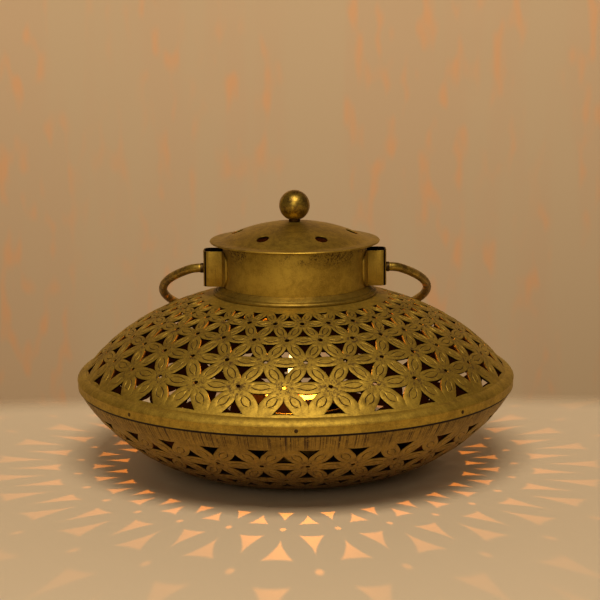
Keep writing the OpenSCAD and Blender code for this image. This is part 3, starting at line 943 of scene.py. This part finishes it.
def tealight_wick():
    """Three plied strands, twisted all the way up."""
    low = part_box("tealight_wick")[0].z
    shape = bmesh.new()
    bmesh.ops.create_circle(shape, cap_ends=True, segments=18, radius=0.5 * MM,
                            matrix=Matrix.Translation((0, 0, low)))
    for vert in shape.verts:
        vert.co.xy *= 1 + 0.24 * math.cos(3 * math.atan2(vert.co.y, vert.co.x))
    ring = shape.edges[:]
    steps = 26
    for i in range(steps):
        made = bmesh.ops.extrude_edge_only(shape, edges=ring)["geom"]
        ring = [g for g in made if isinstance(g, bmesh.types.BMEdge) and g.is_boundary]
        verts = list({v for e in ring for v in e.verts})
        bmesh.ops.translate(shape, verts=verts, vec=(0, 0, (WICK_TOP - low) / steps))
        bmesh.ops.rotate(shape, verts=verts, cent=(0, 0, 0),
                         matrix=Matrix.Rotation(math.radians(20), 3, "Z"))
    bmesh.ops.holes_fill(shape, edges=ring, sides=0)
    return settle(shape)


def add_flame():
    """The lit flame and its light, which go with the tealight but aren't part of it."""
    low = WICK_TOP + 18 * MM
    outline = [(0, 0), (1.4, 1.0), (2.9, 4.2), (3.6, 8.5), (3.5, 13), (2.9, 18), (2.0, 22.5), (1.1, 26),
               (0.4, 28.5), (0, 29.5)]
    bottom = WICK_TOP - 1 * MM
    shape = spun([(r * MM, bottom + z * MM) for r, z in outline], steps=24, closed=False)
    flame = add_mesh("flame", turned(shape, Matrix.Translation((-0.8 * MM, 0, 0))), flame_finish())
    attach(flame, "tealight")
    data = bpy.data.lights.new("candle_light", "POINT")
    data.energy = 0.8
    data.color = (1.0, 0.29, 0.02)
    data.shadow_soft_size = 1.0 * MM
    light = bpy.data.objects.new("candle_light", data)
    bpy.context.collection.objects.link(light)
    light.location = (0, 0, low)
    light.parent = flame.parent
    flame.visible_shadow = False


# ---------------------------------------------------------------- room

def add_room():
    table = bmesh.new()
    bmesh.ops.create_circle(table, cap_ends=True, segments=96, radius=TABLE_R,
                            matrix=Matrix.Translation((0, TABLE_EDGE - TABLE_R, 0)))
    floor = add_mesh("floor", table, floor_finish())
    wall = bmesh.new()
    bmesh.ops.create_grid(wall, x_segments=1, y_segments=1, size=4.0,
                          matrix=Matrix.Translation((0, 1.6, 0.5)) @ Matrix.Rotation(TAU / 4, 4, "X"))
    backdrop = add_mesh("backdrop", wall, wall_finish())
    world = bpy.data.worlds.new("studio")
    world.use_nodes = True
    world.node_tree.nodes["Background"].inputs["Color"].default_value = (0.80, 0.60, 0.38, 1)
    world.node_tree.nodes["Background"].inputs["Strength"].default_value = 0.13
    bpy.context.scene.world = world
    bpy.context.scene.view_settings.view_transform = "Standard"
    add_panel("overhead_light", (0.0, -0.80, 1.30), (0, 0, 0.03), (0.7, 0.5), 13.0, LAMP)
    add_panel("front_light", (-0.3, -1.9, 0.8), (0, 0, 0.05), (0.8, 0.6), 3.6, LAMP)
    add_panel("wall_light", (0.0, 0.7, 0.75), (0, 1.6, -0.25), (3.0, 0.3), 10.5, LAMP)


add_camera()
add_room()

upper_brass = fretwork_brass("pierced_brass_upper", GOLD, OLIVE, grime=0.25)
# Painted shade: a darker copy of the pierced brass for the lower shell, which faces down, away from the
# lamps.
shaded_lower_brass = fretwork_brass("pierced_brass_lower_shaded", (0.40, 0.265, 0.050), (0.22, 0.14, 0.024), grime=0.4,
                             shade_top=46 * MM)
neck_brass = plain_brass("neck_brass", grime=0.6, streaks=0.12, dark_from=NECK_TOP - 13 * MM)
flange_brass = plain_brass("flange_brass", (0.40, 0.27, 0.045), (0.20, 0.13, 0.02), grime=0.9, streaks=0.1)
# Painted shade: a darker colour and heavier grime for the straps, whose sides by the neck lie in shadow, on
# top of their dirt and streaks.
shaded_bracket_brass = plain_brass("shaded_bracket_brass", (0.48, 0.32, 0.05), grime=0.75, streaks=0.4)
lid_brass = plain_brass("lid_brass", (0.54, 0.37, 0.055), (0.25, 0.16, 0.025), grime=0.5, streaks=0.1)
rod_brass = plain_brass("rod_brass", deep=UMBER, grime=0.5, rough=0.38)
knob_brass = plain_brass("knob_brass", deep=UMBER, grime=0.8, streaks=0.1, rough=0.28)
dark_brass = plain_brass("dark_brass", bright=UMBER, deep=SOOT_AND_SHADE, grime=0.8)
bowl_brass = plain_brass("bowl_brass", grime=0.5)
foil = foil_finish()

add_piece("upper_shell_fretwork", upper_shell(), upper_brass, "body", "pierced_brass", "upper_shell")
add_piece("lower_shell_fretwork", lower_shell(), shaded_lower_brass, "body", "pierced_brass", "lower_shell")
add_piece("seam_rivet_heads", seam_rivets(), dark_brass, "body", "dark_brass", "seam_rivets")
add_piece("neck_ring", neck_band(), neck_brass, "body", "neck_brass", "neck_band")
add_piece("neck_cover_ring", neck_flange(), flange_brass, "body", "neck_brass", "neck_flange")
for side in ("left", "right"):
    strap = paint_inside(softened(f"bracket_{side}", 0.22 * MM), within_strap)
    add_piece(f"bail_strap_{side}", strap, shaded_bracket_brass, "body", "neck_brass", f"bracket_{side}")
add_piece("bail_rod", bail_rod(), rod_brass, "bail", "rod_brass", "bail_handle")
add_piece("bail_ring_right", washer(1), dark_brass, "bail", "dark_brass", "bail_washer_right")
add_piece("bail_ring_left", washer(-1), dark_brass, "bail", "dark_brass", "bail_washer_left")
vented(add_piece("lid_top", lid_dome(), lid_brass, "lid", "lid_brass", "lid_dome"))
add_piece("lid_ring", lid_skirt(), lid_brass, "lid", "lid_brass", "lid_skirt")
add_piece("knob_seat", knob_collar(), dark_brass, "lid", "dark_brass", "knob_collar")
add_piece("knob", knob_ball(), knob_brass, "lid", "knob_brass", "knob_ball")
add_piece("knob_stud", knob_stud(), dark_brass, "lid", "dark_brass", "knob_rivet")
add_piece("bowl_stand", bowl_foot(), bowl_brass, "bowl", "bowl_brass", "bowl_foot")
add_piece("bowl", paint_inside(burner_bowl(), within_bowl), bowl_brass, "bowl", "bowl_brass", "burner_bowl")
add_piece("foil_cup", tealight_cup(), foil, "tealight", "tealight_foil", "tealight_cup")
add_piece("wax", tealight_wax(), wax_finish(), "tealight", "candle_wax", "tealight_wax")
add_piece("wick_disc", wick_base(), foil, "tealight", "tealight_foil", "wick_base")
add_piece("wick", tealight_wick(), wick_finish(), "tealight", "cotton_wick", "tealight_wick")
add_flame()
